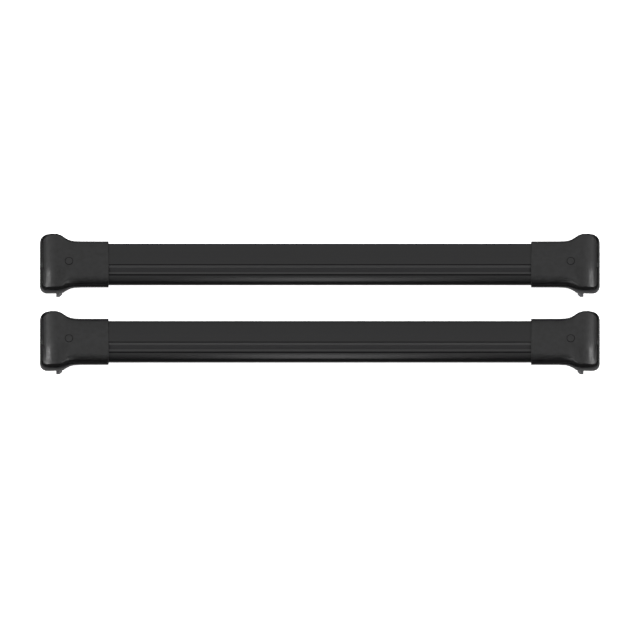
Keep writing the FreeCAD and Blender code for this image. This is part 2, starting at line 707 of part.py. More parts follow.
def make_saddle(name, side, bar):
    """Rubber pad on the rail: a flat bed with grooves along the rail and a lip on its outer side."""
    body = new_body(f"{name}_saddle_body", bar)
    sketch = new_sketch(body, f"{name}_saddle", "XZ_Plane", "-dims.saddle_length / 2")
    top, bed = base_bottom, base_bottom - d.saddle_thickness
    lip = bed - d.saddle_lip_drop
    outer, inner = d.saddle_inset, d.saddle_inset + d.saddle_width
    edge = outer + d.saddle_lip
    land = (inner - edge) / 4
    outline = [(outer, lip), (edge, lip), (edge, bed)]
    for number in (1, 2, 3):
        groove = edge + number * land - d.saddle_groove / 2
        floor = bed + d.saddle_groove_depth
        outline += [(groove, bed), (groove, floor), (groove + d.saddle_groove, floor),
                    (groove + d.saddle_groove, bed)]
    outline += [(inner, bed), (inner, top)]
    steps = [(place_x(side, u), z) for u, z in outline] + [(place_x(side, outer), top)]
    trace(sketch, (place_x(side, outer), top), steps)
    extrude(body, "Pad", f"{name}_saddle_run", sketch, "dims.saddle_length")
    keep(f"{name}_saddle_pad", body)


def claw_outline():
    """Section of the claw, as insets and levels: plate under the base, leg and hooked toe."""
    top = base_bottom - d.claw_lift_gap
    under = top - d.claw_plate
    leg = d.claw_leg_inset
    back = leg + d.claw_leg
    tip = leg - d.claw_reach
    catch = d.claw_tip_height + d.claw_reach
    r, bend = d.claw_bend, d.claw_bend * (1 - math.sqrt(0.5))
    return (leg + r, top), [
        (d.claw_heel_inset, top), (d.claw_heel_inset, under),
        (back + r, under), ((back + bend, under - bend), (back, under - r)),
        (back, catch + d.claw_leg / 2), (tip + d.claw_toe, 0.0), (tip, 0.0),
        (tip, d.claw_tip_height), (leg, catch),
        (leg, top - r), ((leg + bend, top - bend), (leg + r, top))]


def make_claw(name, side, bar):
    """Clamp claw: a bent plate that runs along the rail and hooks its inner lower edge."""
    body = new_body(f"{name}_claw_body", bar)
    sketch = new_sketch(body, f"{name}_claw", "XZ_Plane", "-dims.claw_length / 2")
    start, steps = claw_outline()

    def point(pair):
        return place_x(side, pair[0]), pair[1]

    def step(item):
        return tuple(point(p) for p in item) if isinstance(item[0], tuple) else point(item)
    trace(sketch, point(start), [step(item) for item in steps])
    extrude(body, "Pad", f"{name}_claw_run", sketch, "dims.claw_length")
    sides = new_sketch(body, f"{name}_claw_sides", "XY_Plane", f"{CLAW_TOP} + {overcut}")
    root = place_x(side, d.claw_leg_inset + d.claw_leg + d.claw_bend)
    heel = place_x(side, d.claw_heel_inset + overcut)
    far = d.claw_length / 2 + overcut
    rectangle(sides, (root, -far), (heel, d.bolt_shift - d.claw_tongue / 2))
    rectangle(sides, (root, d.bolt_shift + d.claw_tongue / 2), (heel, far))
    extrude(body, "Pocket", f"{name}_claw_sides_cut", sides, f"dims.claw_plate + {2 * overcut}")
    bore = new_sketch(body, f"{name}_claw_bore", "XY_Plane", f"{CLAW_TOP} + {overcut}")
    circle(bore, (place_x(side, d.bolt_inset), d.bolt_shift), d.bolt_radius + d.bolt_clearance,
           "dims.bolt_radius + dims.bolt_clearance")
    extrude(body, "Pocket", f"{name}_claw_bore_cut", bore, f"dims.claw_plate + {2 * overcut}")
    keep(f"{name}_clamp_claw", body)


def make_claw_pad(name, side, bar):
    """Rubber facing on the claw's leg."""
    body = new_body(f"{name}_claw_pad_body", bar)
    sketch = new_sketch(body, f"{name}_claw_pad_section", "XZ_Plane", "-dims.claw_pad_length / 2")
    low = d.claw_tip_height + d.claw_reach
    outer = d.claw_leg_inset - d.claw_pad_thickness
    chamfer = d.claw_pad_thickness / 2
    high = low + d.claw_pad_height
    outline = [(d.claw_leg_inset, low), (outer + chamfer, low), (outer, low + chamfer), (outer, high - chamfer),
               (outer + chamfer, high), (d.claw_leg_inset, high)]
    steps = [(place_x(side, u), z) for u, z in outline]
    trace(sketch, steps[0], steps[1:] + steps[:1])
    extrude(body, "Pad", f"{name}_claw_pad_run", sketch, "dims.claw_pad_length")
    keep(f"{name}_claw_pad", body)


def cylinder(name, radius, height, spot, level):
    """A cylinder on a vertical axis, with every size and place bound to a formula."""
    obj = doc.addObject("Part::Cylinder", name)
    obj.setExpression("Radius", radius)
    obj.setExpression("Height", height)
    settle(obj, spot, level)
    return obj


def prism(name, across_flats, height, spot, level):
    """A hexagonal prism on a vertical axis, given across its flats."""
    obj = doc.addObject("Part::Prism", name)
    obj.Polygon = 6
    obj.setExpression("Circumradius", f"{across_flats} / 2 / cos(30)")
    obj.setExpression("Height", height)
    settle(obj, spot, level)
    return obj


def settle(obj, spot, level):
    """Bind the place of a primitive to formulas for X, Y and Z."""
    obj.setExpression("Placement.Base.x", spot[0])
    obj.setExpression("Placement.Base.y", spot[1])
    obj.setExpression("Placement.Base.z", level)


def cut(name, base, tool):
    obj = doc.addObject("Part::Cut", name)
    obj.Base, obj.Tool = base, tool
    return obj


def fuse(name, first, second):
    obj = doc.addObject("Part::Fuse", name)
    obj.Base, obj.Tool = first, second
    return obj


def make_fasteners(name, side, bar):
    """Clamp bolt with its washer and nut, the round cap above it and the bar's screws."""
    spot = x_formula(side, "dims.bolt_inset"), y_formula(bar, "dims.bolt_shift")

    ring = cylinder(f"{name}_washer_disc", "dims.washer_radius", "dims.washer_thickness", spot, BOLT_SEAT)
    eye = cylinder(f"{name}_washer_eye", "dims.bolt_radius + dims.bolt_clearance",
                   "dims.washer_thickness", spot, BOLT_SEAT)
    keep(f"{name}_bolt_washer", cut(f"{name}_washer_cut", ring, eye))

    shank = cylinder(f"{name}_bolt_shank", "dims.bolt_radius", "dims.bolt_length", spot,
                     f"{BOLT_UNDERHEAD} - dims.bolt_length")
    head = cylinder(f"{name}_bolt_head", "dims.bolt_head_radius", "dims.bolt_head_height", spot, BOLT_UNDERHEAD)
    socket = prism(f"{name}_bolt_socket", "dims.socket_width", "dims.socket_depth", spot,
                   f"{BOLT_UNDERHEAD} + dims.bolt_head_height - dims.socket_depth")
    keep(f"{name}_clamp_bolt", cut(f"{name}_bolt_cut", fuse(f"{name}_bolt_blank", head, shank), socket))

    nut_level = f"{CLAW_TOP} - dims.claw_plate - dims.nut_height"
    blank = prism(f"{name}_nut_blank", "dims.nut_width", "dims.nut_height", spot, nut_level)
    thread = cylinder(f"{name}_nut_thread", "dims.bolt_radius + dims.thread_clearance",
                      "dims.nut_height", spot, nut_level)
    keep(f"{name}_claw_nut", cut(f"{name}_nut_cut", blank, thread))

    disc_level = f"{cap_level()} - dims.cap_thickness"
    disc = cylinder(f"{name}_cap_disc", "dims.cap_radius", "dims.cap_thickness", spot, disc_level)
    plug = cylinder(f"{name}_cap_plug", "dims.cap_plug_radius", "dims.cap_plug_length", spot,
                    f"{disc_level} - dims.cap_plug_length")
    core = cylinder(f"{name}_cap_core", "dims.cap_plug_radius - dims.cap_plug_wall", "dims.cap_plug_length",
                    spot, f"{disc_level} - dims.cap_plug_length")
    keep(f"{name}_bolt_cap", cut(f"{name}_cap_cut", fuse(f"{name}_cap_blank", disc, plug), core))

    screws = []
    inner = "dims.foot_length - dims.screw_setback"
    for number, inset in enumerate((f"{inner} - dims.screw_spacing", inner)):
        place = x_formula(side, inset), y_formula(bar, "dims.bar_front + dims.channel_setback")
        pan = cylinder(f"{name}_screw_pan_{number}", "dims.screw_head_radius", "dims.screw_head_height",
                       place, BASE_BOTTOM)
        stem = cylinder(f"{name}_screw_stem_{number}", "dims.screw_radius",
                        "dims.base_floor - dims.screw_head_height + dims.screw_reach", place,
                        f"{BASE_BOTTOM} + dims.screw_head_height")
        screws.append(fuse(f"{name}_screw_{number}", pan, stem))
    group = doc.addObject("Part::Compound", f"{name}_screw_group")
    group.Links = screws
    keep(f"{name}_bar_screws", group)


for bar_name, bar in BARS.items():
    make_bar(bar_name, bar)
    make_strip(bar_name, bar)
    for side_name, side in SIDES.items():
        foot = f"{bar_name}_{side_name}"
        make_cover(foot, side, bar)
        make_base(foot, side, bar)
        make_saddle(foot, side, bar)
        make_claw(foot, side, bar)
        make_claw_pad(foot, side, bar)
        make_fasteners(foot, side, bar)

doc.recompute()
for obj in doc.Objects:
    if "Invalid" in obj.State or "Error" in obj.State:
        raise RuntimeError(f"{obj.Name} failed: {obj.State}")
os.makedirs("parts", exist_ok=True)
for obj in parts:
    if obj.Shape.isNull() or not obj.Shape.isValid():
        raise RuntimeError(f"{obj.Label} has no valid shape")
for obj in parts:
    obj.Shape.exportStep(f"parts/{obj.Label}.step")
    print(obj.Label, len(obj.Shape.Solids), round(obj.Shape.Volume))
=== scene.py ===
"""Pair of roof cross bars: finishes, threads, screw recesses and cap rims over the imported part, and a
photo studio."""

import json
import math

import bmesh
import bpy
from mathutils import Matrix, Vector


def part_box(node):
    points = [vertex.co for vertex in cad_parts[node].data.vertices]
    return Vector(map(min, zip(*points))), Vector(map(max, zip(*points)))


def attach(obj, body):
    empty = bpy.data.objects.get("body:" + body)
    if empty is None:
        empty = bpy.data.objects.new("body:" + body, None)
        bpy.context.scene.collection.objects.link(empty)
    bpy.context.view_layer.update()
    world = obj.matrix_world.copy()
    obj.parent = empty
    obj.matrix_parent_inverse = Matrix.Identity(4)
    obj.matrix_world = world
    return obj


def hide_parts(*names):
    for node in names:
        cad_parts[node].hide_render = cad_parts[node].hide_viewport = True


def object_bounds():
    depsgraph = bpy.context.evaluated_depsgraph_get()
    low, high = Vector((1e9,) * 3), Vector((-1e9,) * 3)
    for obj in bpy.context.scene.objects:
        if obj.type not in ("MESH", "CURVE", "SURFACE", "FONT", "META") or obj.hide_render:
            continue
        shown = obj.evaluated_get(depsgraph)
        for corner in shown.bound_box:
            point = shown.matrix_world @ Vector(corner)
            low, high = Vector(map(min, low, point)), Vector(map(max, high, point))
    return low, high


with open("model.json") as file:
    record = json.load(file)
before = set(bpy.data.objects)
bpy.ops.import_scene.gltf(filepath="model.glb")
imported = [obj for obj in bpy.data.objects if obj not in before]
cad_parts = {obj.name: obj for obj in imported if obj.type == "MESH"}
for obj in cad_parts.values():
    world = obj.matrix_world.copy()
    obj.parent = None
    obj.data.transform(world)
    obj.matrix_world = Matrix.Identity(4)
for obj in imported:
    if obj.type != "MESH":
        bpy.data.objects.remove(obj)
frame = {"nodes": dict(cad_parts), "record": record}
CAD_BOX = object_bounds()

bl_info = {
    "name": "Roof cross bars",
    "version": (1, 0, 0),
    "blender": (4, 5, 0),
    "location": "View3D > Sidebar > Cross bars",
    "description": "Dresses a pair of roof cross bars and sets up the studio round them",
    "category": "Object",
}

MM = 0.001
BARS = ("front", "rear")
FEET = tuple(f"{bar}_{side}" for bar in BARS for side in ("left", "right"))

THREAD_RIDGE = 0.45  # half the height of the bolt's thread, as a share of its pitch
PAN_FACE = 0.86  # flat face of a pan head, as a share of its radius
RECESS_ARM = 0.25  # width of a cross recess's arm, as a share of its length
HEX_HALF_FLAT = math.radians(30)  # half the angle that one flat of a hexagon spans

MERGE = 0.002 * MM  # points closer than this are one point
UPRIGHT = 0.3  # a face whose normal rises less than this is a wall
SECOND_FINISH = 1  # material slot of the finish that some faces of a piece have instead of its main one
ONE_PLANE = math.radians(1)  # faces that turn by less than this are made one face
RIM_EDGE = math.radians(60)  # edges sharper than this are the rim of a cap
RIM_STEPS = 3

# How finely the round fasteners are divided.
THREAD_STEPS = 24
BOLT_SIDES = 48
BOLT_HEAD_SIDES = 64
PAN_SIDES = 48
SCREW_SIDES = 32

# The studio, in metres. The side softbox stands past the right ends of the bars, and is mirrored to the left.
OVERHEAD_BOX = {"size": (2.4, 1.6), "place": (0.0, 0.5, 1.8), "aim": (0.0, 0.0, 0.0)}
SIDE_BOX = {"size": (1.1, 1.1), "place": (1.82, -0.23, 1.56), "aim": (0.52, 0.0, 0.06)}
FRONT_BOX = {"size": (0.2, 1.25), "place": (0.0, -0.72, 0.84), "aim": (0.0, 0.0, 0.05)}
CAMERA_DISTANCE = 3.0
FLOOR_REACH = 12.0
FLOOR_GAP = 0.5 * MM

# Brightness of the room by the angle from straight up, in degrees: to the front below 0, to the rear above.
ROOM_LEVELS = (
    (-180, 1.0), (-150, 0.9), (-125, 0.04), (-75, 0.04), (-50, 0.1), (-15, 0.28), (25, 1.0), (65, 0.96),
    (85, 0.7), (108, 0.06), (145, 0.06), (165, 0.6), (180, 1.0))


class CrossBarSizes(bpy.types.PropertyGroup):
    """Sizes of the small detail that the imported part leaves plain."""

    smooth_angle: bpy.props.FloatProperty(
        name="Smooth angle", description="Edges sharper than this stay crisp",
        default=math.radians(32), subtype="ANGLE")
    channel_margin: bpy.props.FloatProperty(
        name="Channel margin", description="Reach of a bar's channel past its strip, to the front and rear",
        default=3 * MM, unit="LENGTH")
    # Below this depth the channel gets painted shade: a dead-matt coat with hardly any sheen.
    channel_edge: bpy.props.FloatProperty(
        name="Channel edge", description="Depth below a strip's lips where the channel's shade-painted coat starts",
        default=0.3 * MM, unit="LENGTH")
    # Below this depth the strip's valley gets painted shade: rubber with hardly any sheen.
    valley_edge: bpy.props.FloatProperty(
        name="Valley edge", description="Depth below a strip's lips where its shade-painted valley starts",
        default=0.7 * MM, unit="LENGTH")
    cap_round: bpy.props.FloatProperty(
        name="Cap rim", description="Rounding round the rim of a bolt cap", default=0.6 * MM, unit="LENGTH")
    thread_pitch: bpy.props.FloatProperty(
        name="Thread pitch", description="Pitch of the clamp bolt's thread", default=1.25 * MM, unit="LENGTH")
    thread_length: bpy.props.FloatProperty(
        name="Thread length", description="Threaded run of the clamp bolt", default=34 * MM, unit="LENGTH")
    bolt_radius: bpy.props.FloatProperty(
        name="Bolt radius", description="Radius over the thread's crests", default=3.98 * MM, unit="LENGTH")
    bolt_head_height: bpy.props.FloatProperty(
        name="Bolt head", description="Height of the clamp bolt's head", default=8 * MM, unit="LENGTH")
    socket_width: bpy.props.FloatProperty(
        name="Socket", description="Hexagon socket of the clamp bolt, across its flats",
        default=6 * MM, unit="LENGTH")
    screw_radius: bpy.props.FloatProperty(
        name="Screw radius", description="Radius of the screws that hold the bars",
        default=2.6 * MM, unit="LENGTH")
    screw_head_height: bpy.props.FloatProperty(
        name="Screw head", description="Height of those screws' heads", default=3 * MM, unit="LENGTH")
    recess_width: bpy.props.FloatProperty(
        name="Cross recess", description="Length of each arm pair of a screw's cross recess",
        default=5.4 * MM, unit="LENGTH")
    recess_depth: bpy.props.FloatProperty(
        name="Recess depth", description="Depth of a screw's cross recess", default=1.8 * MM, unit="LENGTH")


class CrossBarColours(bpy.types.PropertyGroup):
    """Colours of the finishes, as sRGB hex values."""

    powder_coat: bpy.props.StringProperty(
        name="Powder coat", description="Black coat of the wing bars", default="#0c0c0d")
    strip_rubber: bpy.props.StringProperty(
        name="Strip rubber", description="Extruded rubber in the bars' channel", default="#141415")
    cover_plastic: bpy.props.StringProperty(
        name="Cover plastic", description="Moulded upper shells and bolt caps", default="#080808")
    # The clouds are the shells' own tone; this colour is also the base of the walls' painted shade finish.
    cover_cloud: bpy.props.StringProperty(
        name="Cover clouds", description="Paler clouds and shade-painted walls of those shells", default="#121213")
    base_plastic: bpy.props.StringProperty(
        name="Base plastic", description="Moulded lower shells", default="#272728")
    pad_rubber: bpy.props.StringProperty(
        name="Pad rubber", description="Saddle pads and claw facings", default="#161616")
    claw_coat: bpy.props.StringProperty(
        name="Claw coat", description="Dip coat of the clamp claws", default="#6c6c6f")
    zinc: bpy.props.StringProperty(
        name="Zinc", description="Plated bolts, nuts, washers and screws", default="#b7babd")
    floor: bpy.props.StringProperty(
        name="Floor", description="Pale floor and backdrop of the studio", default="#fbfbfb")


class CrossBarStudio(bpy.types.PropertyGroup):
    """Camera and light of the studio."""

    elevation: bpy.props.FloatProperty(
        name="Camera elevation", description="Angle of the camera above the floor",
        default=math.radians(70), subtype="ANGLE")
    view_width: bpy.props.FloatProperty(
        name="View width", description="Width that the picture takes in", default=1.2, unit="LENGTH")
    aim_x: bpy.props.FloatProperty(
        name="Aim X", description="Point on the ground at the middle of the picture",
        default=0.3 * MM, unit="LENGTH")
    aim_y: bpy.props.FloatProperty(
        name="Aim Y", description="Point on the ground at the middle of the picture",
        default=-21.5 * MM, unit="LENGTH")
    sky: bpy.props.FloatProperty(
        name="Sky", description="Brightness of the room all round", default=0.8)
    overhead: bpy.props.FloatProperty(
        name="Overhead softbox", description="Power of the softbox above the pair",
        default=1.0, subtype="POWER")
    side: bpy.props.FloatProperty(
        name="Side softboxes", description="Power of each softbox past the ends of the bars",
        default=34.0, subtype="POWER")
    front: bpy.props.FloatProperty(
        name="Front softbox", description="Power of the softbox before the middle of the bars",
        default=3.3, subtype="POWER")
    floor_glow: bpy.props.FloatProperty(
        name="Floor glow", description="Light that comes up through the light table's floor", default=0.95)
    backdrop: bpy.props.FloatProperty(
        name="Backdrop", description="Brightness of the plain backdrop past the floor", default=1.2)


def sizes():
    return bpy.context.scene.cross_bar_sizes


def colours():
    return bpy.context.scene.cross_bar_colours


def studio():
    return bpy.context.scene.cross_bar_studio


def linear(hex_colour):
    """Linear colour of an sRGB hex value."""
    channels = [int(hex_colour[i:i + 2], 16) / 255 for i in (1, 3, 5)]
    return [c / 12.92 if c <= 0.04045 else ((c + 0.055) / 1.055) ** 2.4 for c in channels] + [1.0]


def add(tree, kind, inputs=None, **settings):
    """Add a node with its settings. An input takes a value, a socket to link from or a tuple of sockets."""
    node = tree.nodes.new(kind)
    for name, value in settings.items():
        setattr(node, name, value)
    for name, value in (inputs or {}).items():
        sources = value if isinstance(value, tuple) else (value,)
        if isinstance(sources[0], bpy.types.NodeSocket):
            for source in sources:
                tree.links.new(source, node.inputs[name])
        else:
            node.inputs[name].default_value = value
    return node


def new_material(name, shader):
    """A material with a Principled shader, whose inputs are given by their names."""
    material = bpy.data.materials.new(name)
    material.use_nodes = True
    tree = material.node_tree
    tree.nodes.clear()
    principled = add(tree, "ShaderNodeBsdfPrincipled", shader)
    add(tree, "ShaderNodeOutputMaterial", {"Surface": principled.outputs["BSDF"]})
    return material, tree, principled


def relief(tree, principled, cell, depth, squeeze=(1.0, 1.0, 1.0), detail=2.0):
    """Fine relief with cells of a real size and depth; a squeeze below 1 draws them out along that axis."""
    place = add(tree, "ShaderNodeTexCoord")
    squeezed = add(tree, "ShaderNodeMapping", {"Vector": place.outputs["Object"], "Scale": squeeze})
    grain = add(tree, "ShaderNodeTexNoise", {
        "Vector": squeezed.outputs["Vector"], "Scale": 1 / cell, "Detail": detail})
    bump = add(tree, "ShaderNodeBump", {"Height": grain.outputs["Fac"], "Distance": depth, "Strength": 1.0})
    tree.links.new(bump.outputs["Normal"], principled.inputs["Normal"])
    return grain


def powder_coat():
    """Polyester powder coat baked on extruded aluminium: satin black, with a faint orange peel."""
    material, tree, principled = new_material("powder coated aluminium", {
        "Base Color": linear(colours().powder_coat), "Roughness": 0.33, "IOR": 1.46})
    relief(tree, principled, cell=2.0 * MM, depth=0.006 * MM)
    return material


def channel_shade_coat():
    """The same coat down in the channel that holds the strip, dead matt with hardly any sheen: painted shade,
    which darkens the channel where shade falls.
    """
    material, tree, principled = new_material("powder coat, channel shade painted", {
        "Base Color": linear(colours().powder_coat), "Roughness": 0.8, "IOR": 1.44,
        "Specular IOR Level": 0.05})
    relief(tree, principled, cell=1.2 * MM, depth=0.02 * MM)
    return material


def strip_rubber():
    """Extruded EPDM rubber: matt, a little greyer than the coat, with drawn lines along the strip."""
    material, tree, principled = new_material("extruded EPDM rubber", {
        "Base Color": linear(colours().strip_rubber), "Roughness": 0.55, "IOR": 1.5})
    relief(tree, principled, cell=1.0 * MM, depth=0.02 * MM, squeeze=(0.02, 1.0, 1.0))
    return material


def valley_shade_rubber():
    """The same rubber between the strip's lips, dead matt with hardly any sheen: painted shade, which darkens
    the valley between the lips.
    """
    material, tree, principled = new_material("EPDM rubber, valley shade painted", {
        "Base Color": linear(colours().strip_rubber), "Roughness": 0.75, "IOR": 1.5,
        "Specular IOR Level": 0.3})
    relief(tree, principled, cell=0.7 * MM, depth=0.03 * MM, squeeze=(0.02, 1.0, 1.0))
    return material


def mottle(tree, principled, dark, pale, cell):
    """Cloud a surface softly between two colours, in patches of a real size."""
    place = add(tree, "ShaderNodeTexCoord")
    cloud = add(tree, "ShaderNodeTexNoise", {
        "Vector": place.outputs["Object"], "Scale": 1 / cell, "Detail": 3.0})
    share = add(tree, "ShaderNodeMapRange", {
        "Value": cloud.outputs["Fac"], "From Min": 0.35, "From Max": 0.65})
    blend = add(tree, "ShaderNodeMix", {"Factor": share.outputs["Result"]}, data_type="RGBA")
    dark_input, pale_input = (socket for socket in blend.inputs if socket.type == "RGBA")
    dark_input.default_value = dark
    pale_input.default_value = pale
    clouded = next(socket for socket in blend.outputs if socket.type == "RGBA")
    tree.links.new(clouded, principled.inputs["Base Color"])


def cover_plastic():
    """Polyamide moulded in a spark-eroded tool: deep black with a broad, grainy sheen on its turns and
    faint clouds where the melt ran. The real grain is about 0.3 mm; it is drawn at 2.4 mm, the finest
    that the picture shows."""
    material, tree, principled = new_material("spark grained polyamide", {"IOR": 1.5})
    mottle(tree, principled, linear(colours().cover_plastic), linear(colours().cover_cloud), cell=9 * MM)
    grain = relief(tree, principled, cell=2.4 * MM, depth=0.09 * MM, detail=3.0)
    sheen = add(tree, "ShaderNodeMapRange", {
        "Value": grain.outputs["Fac"], "From Min": 0.38, "From Max": 0.62, "To Min": 0.28, "To Max": 0.44})
    tree.links.new(sheen.outputs["Result"], principled.inputs["Roughness"])
    return material


def wall_shade_plastic():
    """The same polyamide on the shell's upright walls, dead matt with hardly any sheen: painted shade, which
    makes a black shadow line under the shells' edges. Faint marks run up the wall; they are about 0.2 mm
    apart and are drawn at 1.6 mm to show."""
    material, tree, principled = new_material("polyamide, wall shade painted", {
        "Base Color": linear(colours().cover_cloud), "Roughness": 0.85, "IOR": 1.5,
        "Specular IOR Level": 0.12})
    relief(tree, principled, cell=1.6 * MM, depth=0.04 * MM, squeeze=(1.0, 1.0, 0.1))
    return material


def base_plastic():
    """Glass-filled polyamide: a shade greyer and drier than the covers."""
    material, tree, principled = new_material("glass filled polyamide", {
        "Base Color": linear(colours().base_plastic), "Roughness": 0.52, "IOR": 1.53})
    relief(tree, principled, cell=1.6 * MM, depth=0.05 * MM, detail=3.0)
    return material


def pad_rubber():
    """Moulded rubber: dull black with no clear highlight."""
    material, tree, principled = new_material("moulded rubber", {
        "Base Color": linear(colours().pad_rubber), "Roughness": 0.8, "IOR": 1.5})
    relief(tree, principled, cell=2.2 * MM, depth=0.05 * MM)
    return material


def claw_coat():
    """Cathodic dip coat on bent steel plate: thin, even and semi-gloss, so that bent edges catch light."""
    material, tree, principled = new_material("dip coated steel", {
        "Base Color": linear(colours().claw_coat), "Roughness": 0.42, "IOR": 1.5})
    relief(tree, principled, cell=3.0 * MM, depth=0.012 * MM)
    return material


def zinc_plate():
    """Zinc plated steel: a bright, slightly cloudy grey metal."""
    material, tree, principled = new_material("zinc plated steel", {
        "Base Color": linear(colours().zinc), "Metallic": 1.0})
    grain = relief(tree, principled, cell=1.5 * MM, depth=0.004 * MM)
    cloud = add(tree, "ShaderNodeMapRange", {
        "Value": grain.outputs["Fac"], "From Min": 0.3, "From Max": 0.7, "To Min": 0.28, "To Max": 0.42})
    tree.links.new(cloud.outputs["Result"], principled.inputs["Roughness"])
    return material


def carrier(node):
    """The body that a CAD node moves with."""
    return next(body for body, members in frame["record"]["behaviour"]["bodies"].items() if node in members)


def adopt(obj, node):
    """Let a finished piece stand for a CAD node, on the body that carries the node."""
    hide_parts(node)
    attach(obj, carrier(node))


def dress(node, material):
    """A smooth-shaded copy of a CAD node in its finish, with its crisp edges kept."""
    mesh = frame["nodes"][node].data.copy()
    mesh.name = f"{node}_surface"
    work = bmesh.new()
    work.from_mesh(mesh)
    bmesh.ops.remove_doubles(work, verts=work.verts, dist=MERGE)
    bmesh.ops.dissolve_degenerate(work, edges=work.edges, dist=MERGE)
    work.to_mesh(mesh)
    work.free()
    if "custom_normal" in mesh.attributes:
        mesh.attributes.remove(mesh.attributes["custom_normal"])
    mesh.shade_smooth()
    mesh.set_sharp_from_angle(angle=sizes().smooth_angle)
    mesh.materials.clear()
    mesh.materials.append(material)
    obj = bpy.data.objects.new(f"{node}_finished", mesh)
    bpy.context.scene.collection.objects.link(obj)
    adopt(obj, node)
    return obj


def finish_faces(obj, material, chosen):
    """Give the faces of a piece that pass a test its second finish."""
    obj.data.materials.append(material)
    for face in obj.data.polygons:
        if chosen(face):
            face.material_index = SECOND_FINISH


class CROSSBARS_OT_wing_bars(bpy.types.Operator):
    """Coat the two wing bars"""

    bl_idname = "cross_bars.wing_bars"
    bl_label = "Wing bars"

    def execute(self, context):
        coat, channel_shade = powder_coat(), channel_shade_coat()
        margin = sizes().channel_margin
        for bar in BARS:
            low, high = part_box(f"{bar}_slot_strip")
            top = high.z - sizes().channel_edge

            # Faces in the channel get painted shade: a dead-matt coat that darkens the recess.
            def in_channel(face):
                return low.y - margin < face.center.y < high.y + margin and low.z < face.center.z < top

            finish_faces(dress(f"{bar}_bar_profile", coat), channel_shade, in_channel)
        return {"FINISHED"}


class CROSSBARS_OT_slot_strips(bpy.types.Operator):
    """Lay the rubber strips in the bars' channels"""

    bl_idname = "cross_bars.slot_strips"
    bl_label = "Slot strips"

    def execute(self, context):
        lips, valley = strip_rubber(), valley_shade_rubber()
        for bar in BARS:
            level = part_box(f"{bar}_slot_strip")[1].z - sizes().valley_edge

            # Faces below the lips get painted shade: the valley's sheenless rubber darkens it.
            def below_lips(face):
                return face.center.z < level

            finish_faces(dress(f"{bar}_slot_strip", lips), valley, below_lips)
        return {"FINISHED"}


def is_wall(face):
    return face.normal.z < UPRIGHT


def round_rim(cap):
    """Round the rim of a bolt cap, and give the rounding the walls' dead-matt finish: painted shade, which
    draws a dark ring round the cap.
    """
    work = bmesh.new()
    work.from_mesh(cap.data)
    bmesh.ops.dissolve_limit(work, angle_limit=ONE_PLANE, verts=work.verts, edges=work.edges)
    work.to_mesh(cap.data)
    work.free()
    cap.data.set_sharp_from_angle(angle=sizes().smooth_angle)
    rim = cap.modifiers.new("round rim", "BEVEL")
    rim.width = sizes().cap_round
    rim.segments = RIM_STEPS
    rim.limit_method = "ANGLE"
    rim.angle_limit = RIM_EDGE
    # The rounded rim takes the walls' painted shade finish.
    rim.material = SECOND_FINISH


class CROSSBARS_OT_foot_shells(bpy.types.Operator):
    """Finish the upper and lower shells of the feet, and the caps over the bolts"""

    bl_idname = "cross_bars.foot_shells"
    bl_label = "Foot shells"

    def execute(self, context):
        upper, walls, lower = cover_plastic(), wall_shade_plastic(), base_plastic()
        for foot in FEET:
            cover = dress(f"{foot}_foot_cover", upper)
            # Walls of the shells and caps get painted shade: a dead-matt finish with hardly any sheen.
            finish_faces(cover, walls, is_wall)
            cap = dress(f"{foot}_bolt_cap", upper)
            finish_faces(cap, walls, is_wall)
            round_rim(cap)
            dress(f"{foot}_foot_base", lower)
        return {"FINISHED"}


class CROSSBARS_OT_rail_clamps(bpy.types.Operator):
    """Finish the claws, and the rubber that meets the rail"""

    bl_idname = "cross_bars.rail_clamps"
    bl_label = "Rail clamps"

    def execute(self, context):
        coat, rubber = claw_coat(), pad_rubber()
        for foot in FEET:
            dress(f"{foot}_clamp_claw", coat)
            dress(f"{foot}_claw_pad", rubber)
            dress(f"{foot}_saddle_pad", rubber)
        return {"FINISHED"}


def new_tree(name, sockets):
    """A geometry node tree with named inputs; gives the tree and the sockets that its inputs feed."""
    tree = bpy.data.node_groups.new(name, "GeometryNodeTree")
    tree.interface.new_socket("Geometry", in_out="OUTPUT", socket_type="NodeSocketGeometry")
    for label, kind in sockets.items():
        tree.interface.new_socket(label, in_out="INPUT", socket_type=f"NodeSocket{kind}")
    return tree, tree.nodes.new("NodeGroupInput").outputs


def end_tree(tree, geometry, material):
    """Close a tree: make its instances real, set the finish and hand the shape out."""
    real = add(tree, "GeometryNodeRealizeInstances", {"Geometry": geometry})
    dressed = add(tree, "GeometryNodeSetMaterial", {
        "Geometry": real.outputs["Geometry"], "Material": material})
    add(tree, "NodeGroupOutput", {"Geometry": dressed.outputs["Geometry"]})


def grow(name, tree, values):
    """A plain mesh object from a tree and its values, smooth between its crisp edges."""
    obj = bpy.data.objects.new(name, bpy.data.meshes.new(name))
    bpy.context.scene.collection.objects.link(obj)
    modifier = obj.modifiers.new("shape", "NODES")
    modifier.node_group = tree
    for socket in tree.interface.items_tree:
        if socket.in_out == "INPUT":
            modifier[socket.identifier] = values[socket.name]
    depsgraph = bpy.context.evaluated_depsgraph_get()
    mesh = bpy.data.meshes.new_from_object(obj.evaluated_get(depsgraph), depsgraph=depsgraph)
    obj.modifiers.clear()
    obj.data = mesh
    mesh.shade_smooth()
    mesh.set_sharp_from_angle(angle=sizes().smooth_angle)
    return obj


def raised(tree, shape, *terms):
    """Raise a shape by the sum of some lengths, each taken by its own share."""
    height = 0.0
    for length, share in terms:
        step = add(tree, "ShaderNodeMath", {0: length, 1: share, 2: height}, operation="MULTIPLY_ADD")
        height = step.outputs[0]
    rise = add(tree, "ShaderNodeCombineXYZ", {"Z": height})
    placed = add(tree, "GeometryNodeTransform", {"Geometry": shape, "Translation": rise.outputs["Vector"]})
    return placed.outputs["Geometry"]


